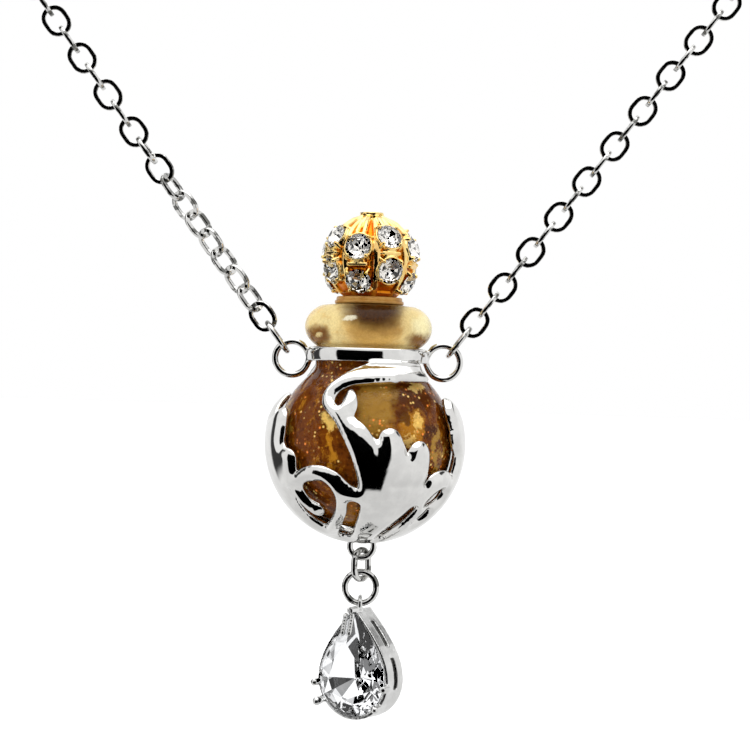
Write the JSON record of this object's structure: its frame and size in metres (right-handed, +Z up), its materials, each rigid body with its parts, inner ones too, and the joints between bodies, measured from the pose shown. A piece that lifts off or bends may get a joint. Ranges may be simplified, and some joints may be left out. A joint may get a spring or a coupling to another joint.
{
  "type": "bottle pendant necklace",
  "caption": "Hollow glass bottle in a pierced metal cup with a stone-set ball stopper and a pear drop, on a closed cable chain.",
  "frame": {"origin": "middle of the clasp at the nape, where the necklace hangs", "axes": "+Z up, front towards -Y, +X to the right as seen from the front"},
  "size_m": [0.1194, 0.0997, 0.1912],
  "materials": {
    "amber_glass": "polished",
    "tan_plastic": "smooth",
    "gold": "polished gold plate",
    "rhodium": "polished",
    "clear_stone": "cut and polished"
  },
  "bodies": {
    "necklace": {"link_right": "rhodium", "link_left": "rhodium", "chain_right": "rhodium", "chain_left": "rhodium", "clasp": "rhodium"},
    "pendant": {"bottle": "amber_glass", "cage": "rhodium", "drop_link": "rhodium", "drop_ring": "rhodium", "drop_setting": "rhodium", "drop_stone": "clear_stone"},
    "stopper": {"stopper_collar": "tan_plastic", "stopper_ball": "gold", "ball_stones": "clear_stone"}
  },
  "joints": [
    {"name": "pendant_swing", "type": "hinge", "parent": "necklace", "child": "pendant", "pos_m": [0, -0.088, -0.15296], "axis": [1, 0, 0], "range_deg": [-25, 25]},
    {"name": "stopper_lift", "type": "slide", "parent": "pendant", "child": "stopper", "axis": [0, 0, 1], "range_m": [0, 0.008]}
  ]
}
